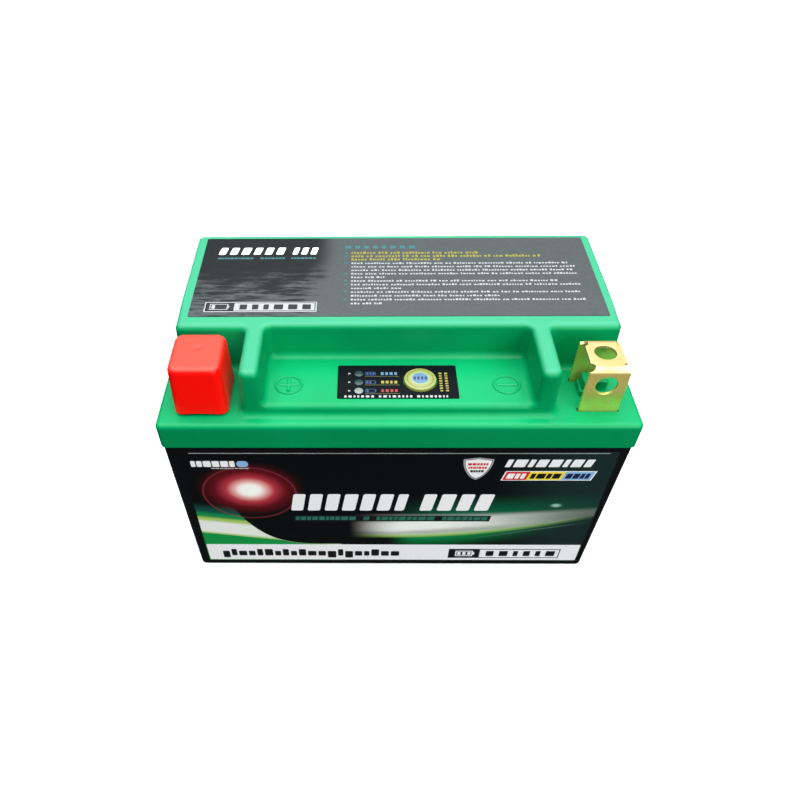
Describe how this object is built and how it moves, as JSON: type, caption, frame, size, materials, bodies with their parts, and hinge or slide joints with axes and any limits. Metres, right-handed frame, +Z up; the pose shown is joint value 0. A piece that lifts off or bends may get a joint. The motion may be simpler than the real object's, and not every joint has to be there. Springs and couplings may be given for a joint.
{
  "type": "motorcycle battery",
  "caption": "Small lithium starter battery: black case, stepped green cover with a tray, folded brass terminals, a red terminal cap and a charge indicator.",
  "frame": {"origin": "centre of the underside of the container, where the battery rests", "axes": "+X along the length towards the negative terminal, -Y out of the labelled front, +Z up"},
  "size_m": [0.15, 0.087, 0.0936],
  "materials": {
    "black_case": "moulded ABS, low sheen",
    "board": "green solder mask",
    "brass": "folded brass strip, lightly tarnished",
    "button": "printed dome",
    "cable": "insulated wire",
    "cell": "drawn can",
    "component": "moulded epoxy",
    "connector": "natural nylon",
    "copper": "bare copper strip",
    "foam": "closed-cell foam",
    "frame": "moulded nylon",
    "green_cover": "moulded ABS, satin gloss",
    "label_black": "printed film sticker",
    "label_grey": "printed film sticker",
    "lamp": "clear epoxy",
    "overlay": "printed film sticker",
    "red_cap": "soft moulded vinyl",
    "seal": "moulded rubber",
    "steel": "plated"
  },
  "bodies": {
    "battery": {"balance_board": "board", "balance_controller": "component", "balance_resistor_1": "component", "balance_resistor_2": "component", "balance_resistor_3": "component", "balance_resistor_4": "component", "balance_screw_1": "steel", "balance_screw_2": "steel", "balance_screw_3": "steel", "balance_screw_4": "steel", "balance_socket": "connector", "base_foam": "foam", "cell_1": "cell", "cell_2": "cell", "cell_3": "cell", "cell_4": "cell", "cell_frame": "frame", "cell_spacer_1": "foam", "cell_spacer_2": "foam", "cell_spacer_3": "foam", "container": "black_case", "cover": "green_cover", "cover_seal": "seal", "end_foam_left": "foam", "end_foam_right": "foam", "front_label": "label_black", "indicator_board": "board", "indicator_cable": "cable", "indicator_connector": "connector", "indicator_overlay": "overlay", "indicator_screw_1": "steel", "indicator_screw_2": "steel", "lamp_full": "lamp", "lamp_half": "lamp", "lamp_low": "lamp", "negative_lead": "copper", "negative_terminal": "brass", "negative_terminal_seal": "seal", "positive_lead": "copper", "positive_terminal": "brass", "positive_terminal_seal": "seal", "sense_wire_1": "cable", "sense_wire_2": "cable", "sense_wire_3": "cable", "sense_wire_4": "cable", "sense_wire_5": "cable", "series_link_1": "copper", "series_link_2": "copper", "series_link_3": "copper", "test_switch": "component", "top_label": "label_grey"},
    "positive_cap": {"positive_cap": "red_cap"},
    "test_button": {"test_button": "button", "test_switch_plunger": "connector"}
  },
  "joints": [
    {"name": "positive_cap_slide", "type": "slide", "parent": "battery", "child": "positive_cap", "axis": [0, 0, 1], "range_m": [0, 0.025]},
    {"name": "test_button_press", "type": "slide", "parent": "battery", "child": "test_button", "axis": [0, 0, -1], "range_m": [0, 0.00045], "stiffness_N_per_m": 1500, "springref_m": -0.0003}
  ]
}
